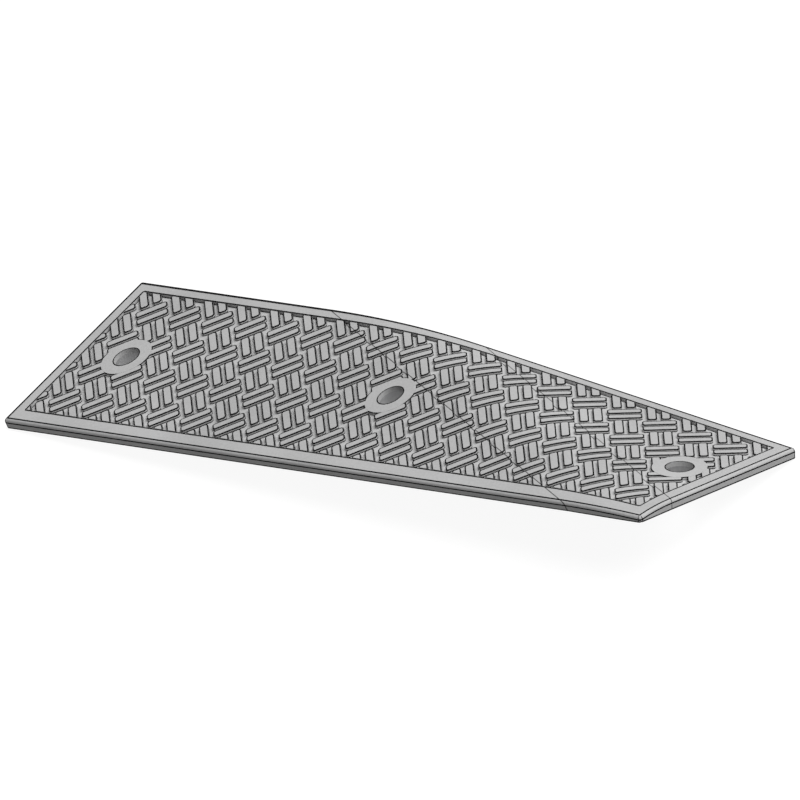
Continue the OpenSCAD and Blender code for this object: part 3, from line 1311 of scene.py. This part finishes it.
@dataclass
class GripStrip:
    """A rubber strip in a groove under the plate, with ribs across it where it bears."""

    plate: Plate
    finishes: Finishes
    name: str
    box: Box
    depth: float = 0.004
    proud: float = 0.0015
    rib_pitch: float = 0.004
    rib_width: float = 0.0024
    rib_height: float = 0.0009
    edge: float = 0.0003
    sharp: float = 40.0

    def _block(self, name: str, size: Triple, low: float) -> Object:
        """Makes a block with bevelled edges, centred on x and y.

        Args:
            name: The object's name.
            size: Its length, width and height.
            low: The height of its bottom.

        Returns:
            The block.
        """
        place = Matrix.Translation((0.0, 0.0, low + size[2] / 2)) @ Matrix.Diagonal((*size, 1.0))
        shape = bmesh.new()
        bmesh.ops.create_cube(shape, size=1.0, matrix=place)
        bmesh.ops.bevel(shape, geom=shape.edges[:], offset=self.edge, segments=1, affect="EDGES")
        return cast(name, shape)

    def _ribbed(self, length: float, core: Object, rib: Object) -> Object:
        """Sets a row of ribs on the strip.

        Args:
            length: The length of the strip.
            core: The plain strip.
            rib: One rib.

        Returns:
            The strip, flat and along x.
        """
        ribs = int((length - self.rib_width) / self.rib_pitch) + 1
        layout = Layout(self.name, {"Rib Pitch": self.rib_pitch, "Ribs": ribs})
        pitch, count = layout.size("Rib Pitch"), layout.size("Ribs")
        first = layout.spot(pitch * (count - 1.0) * -0.5)
        inputs = {"Count": count, "Start Location": first, "Offset": layout.spot(pitch)}
        line = layout.node("GeometryNodeMeshLine", None, inputs).outputs[0]
        row = layout.copies(line, layout.shape(rib))
        return layout.grow(layout.dressed(layout.real([row, layout.shape(core)]), self.finishes.rubber))

    def build(self) -> Object:
        """Makes the strip.

        Returns:
            The finished piece.
        """
        left, front, right, back = self.box
        width, length = sorted((back - front, right - left))
        low = -self.plate.thickness - self.proud
        foot = low + self.rib_height
        core = self._block("core", (length, width, self.depth - self.plate.thickness - foot), foot)
        rib = self._block("rib", (self.rib_width, width, self.rib_height * 2), low)
        strip = self._ribbed(length, core, rib)
        drop(core)
        drop(rib)
        turn = Matrix.Rotation(math.pi / 2 if back - front > right - left else 0.0, 4, "Z")
        strip.data.transform(self.plate.seat((left + right) / 2, (front + back) / 2) @ turn)
        smooth(strip, self.sharp)
        return strip


@dataclass
class Bushes:
    """The steel bushes in the fixing holes, whose solids are shown as they are."""

    plate: Plate
    nodes: tuple[str, ...] = ("bush_left", "bush_middle", "bush_right")

    def dress(self, objects: Mapping[str, Object]) -> None:
        """Gives each bush its turned steel.

        Args:
            objects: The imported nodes' objects by name.
        """
        for node, spot in zip(self.nodes, self.plate.hole_spots):
            axis = self.plate.seat(*spot).col[2].to_3d()
            looks = objects[node].data.materials
            looks.clear()
            looks.append(TurnedSteel(f"turned_steel_{node}").build(axis))
            LOG.info("dressed %s", node)


@dataclass
class Studio:
    """The pale floor, the lamps and the camera."""

    plate: Plate
    lens: float = 1690.0
    sensor: float = 36.0
    clip: tuple[float, float] = (1.0, 120.0)
    location: Triple = (27.24169, -20.67810, 22.60137)
    right: Triple = (0.7267936, 0.6075570, -0.3203833)
    up: Triple = (-0.1726847, 0.6130962, 0.7709041)
    toward: Triple = (0.6647940, -0.5049628, 0.5505102)
    key_way: Triple = (0.54, 0.32, 0.78)
    key_power: float = 3.0
    key_distance: float = 3.0
    key_softness: float = math.radians(60.0)
    fill: float = 0.18
    white: Colour = (1.0, 1.0, 1.0)
    floor_colour: Colour = (0.2, 0.2, 0.2)
    floor_glow: float = 0.92
    floor_reach: float = 60.0

    def build(self) -> None:
        """Makes the whole stage."""
        self._camera()
        self._floor()
        self._key()
        self._fill()
        bpy.context.scene.view_settings.view_transform = "Standard"

    def _camera(self) -> None:
        """Makes a long-lens camera at the photograph's viewing angle."""
        data = bpy.data.cameras.new("camera")
        data.lens = self.lens
        data.sensor_width = self.sensor
        data.clip_start, data.clip_end = self.clip
        camera = bpy.data.objects.new("camera", data)
        bpy.context.scene.collection.objects.link(camera)
        turn = Matrix((self.right, self.up, self.toward)).transposed().to_4x4()
        turn.translation = Vector(self.location)
        camera.matrix_world = turn
        bpy.context.scene.camera = camera

    def _floor(self) -> None:
        """Makes the floor, which shows near white and keeps a soft shadow."""
        material, graph = new_material("pale_floor")
        path = graph.node("ShaderNodeLightPath").outputs
        seen = Value(graph, path["Is Camera Ray"])
        for ray in ("Is Glossy Ray", "Is Transmission Ray"):
            seen = seen.greatest(Value(graph, path[ray]))
        glow = {"Color": opaque(self.white), "Strength": self.floor_glow}
        shown = graph.node("ShaderNodeEmission", None, glow).outputs[0]
        pale = graph.node("ShaderNodeBsdfDiffuse", None, {"Color": opaque(self.floor_colour)}).outputs[0]
        both = graph.node("ShaderNodeAddShader", None, {0: shown, 1: pale}).outputs[0]
        mixed = graph.node("ShaderNodeMixShader", None, {0: seen, 1: pale, 2: both}).outputs[0]
        graph.node("ShaderNodeOutputMaterial", None, {"Surface": mixed})
        shape = bmesh.new()
        bmesh.ops.create_grid(shape, x_segments=1, y_segments=1, size=self.floor_reach)
        cast("floor", shape, (material,))

    def _key(self) -> None:
        """Makes a broad key lamp behind the plate."""
        data = bpy.data.lights.new("key", "SUN")
        data.energy = self.key_power
        data.angle = self.key_softness
        lamp = bpy.data.objects.new("key", data)
        bpy.context.scene.collection.objects.link(lamp)
        way = self.plate.turned(Vector(self.key_way)).normalized()
        lamp.rotation_mode = "QUATERNION"
        lamp.rotation_quaternion = way.to_track_quat("Z", "Y")
        lamp.location = way * self.key_distance

    def _fill(self) -> None:
        """Makes an even fill, which the camera sees as white."""
        world = bpy.data.worlds.new("studio")
        bpy.context.scene.world = world
        world.use_nodes = True
        graph = Graph(world.node_tree)
        seen = graph.value("ShaderNodeLightPath", output="Is Camera Ray")
        light = {"Color": opaque(self.white), "Strength": seen * (1.0 - self.fill) + self.fill}
        back = graph.node("ShaderNodeBackground", None, light).outputs[0]
        graph.node("ShaderNodeOutputWorld", None, {"Surface": back})


@dataclass
class KerbRamp:
    """The whole dressed plate."""

    plate: Plate
    finishes: Finishes
    shown: list[str] = field(default_factory=list)

    def _place(self, piece: Object, node: str) -> None:
        """Puts a piece in place of a node.

        Args:
            piece: The finished piece.
            node: The node it stands for.
        """
        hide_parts(node)
        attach(piece, BODY)
        self.shown.append(piece.name)
        LOG.info("%s stands for %s: %d faces", piece.name, node, len(piece.data.polygons))

    def build(self, objects: Mapping[str, Object]) -> None:
        """Builds and dresses every piece.

        Args:
            objects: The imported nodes' objects by name.
        """
        tray = BaseTray(self.plate, self.finishes)
        self._place(tray.build(), "base_tray")
        panel = TreadPanel(self.plate, self.finishes, TreadWeave(self.plate, self.finishes))
        self._place(panel.build(), "tread_panel")
        toe, heel = tray.grooves()
        for name, node, box in (("ribbed_toe", "toe_strip", toe), ("ribbed_heel", "heel_strip", heel)):
            self._place(GripStrip(self.plate, self.finishes, name, box).build(), node)
        Bushes(self.plate).dress(objects)


def main() -> None:
    """Loads the frame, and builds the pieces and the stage."""
    logging.basicConfig(level=logging.INFO, format="%(name)s: %(message)s")
    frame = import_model()
    plate = Plate.from_record(frame["record"])
    ramp = KerbRamp(plate, Finishes.of(plate))
    ramp.build(frame["nodes"])
    Studio(plate).build()
    LOG.info("shown: %s", ", ".join(ramp.shown))


if __name__ == "__main__":
    main()
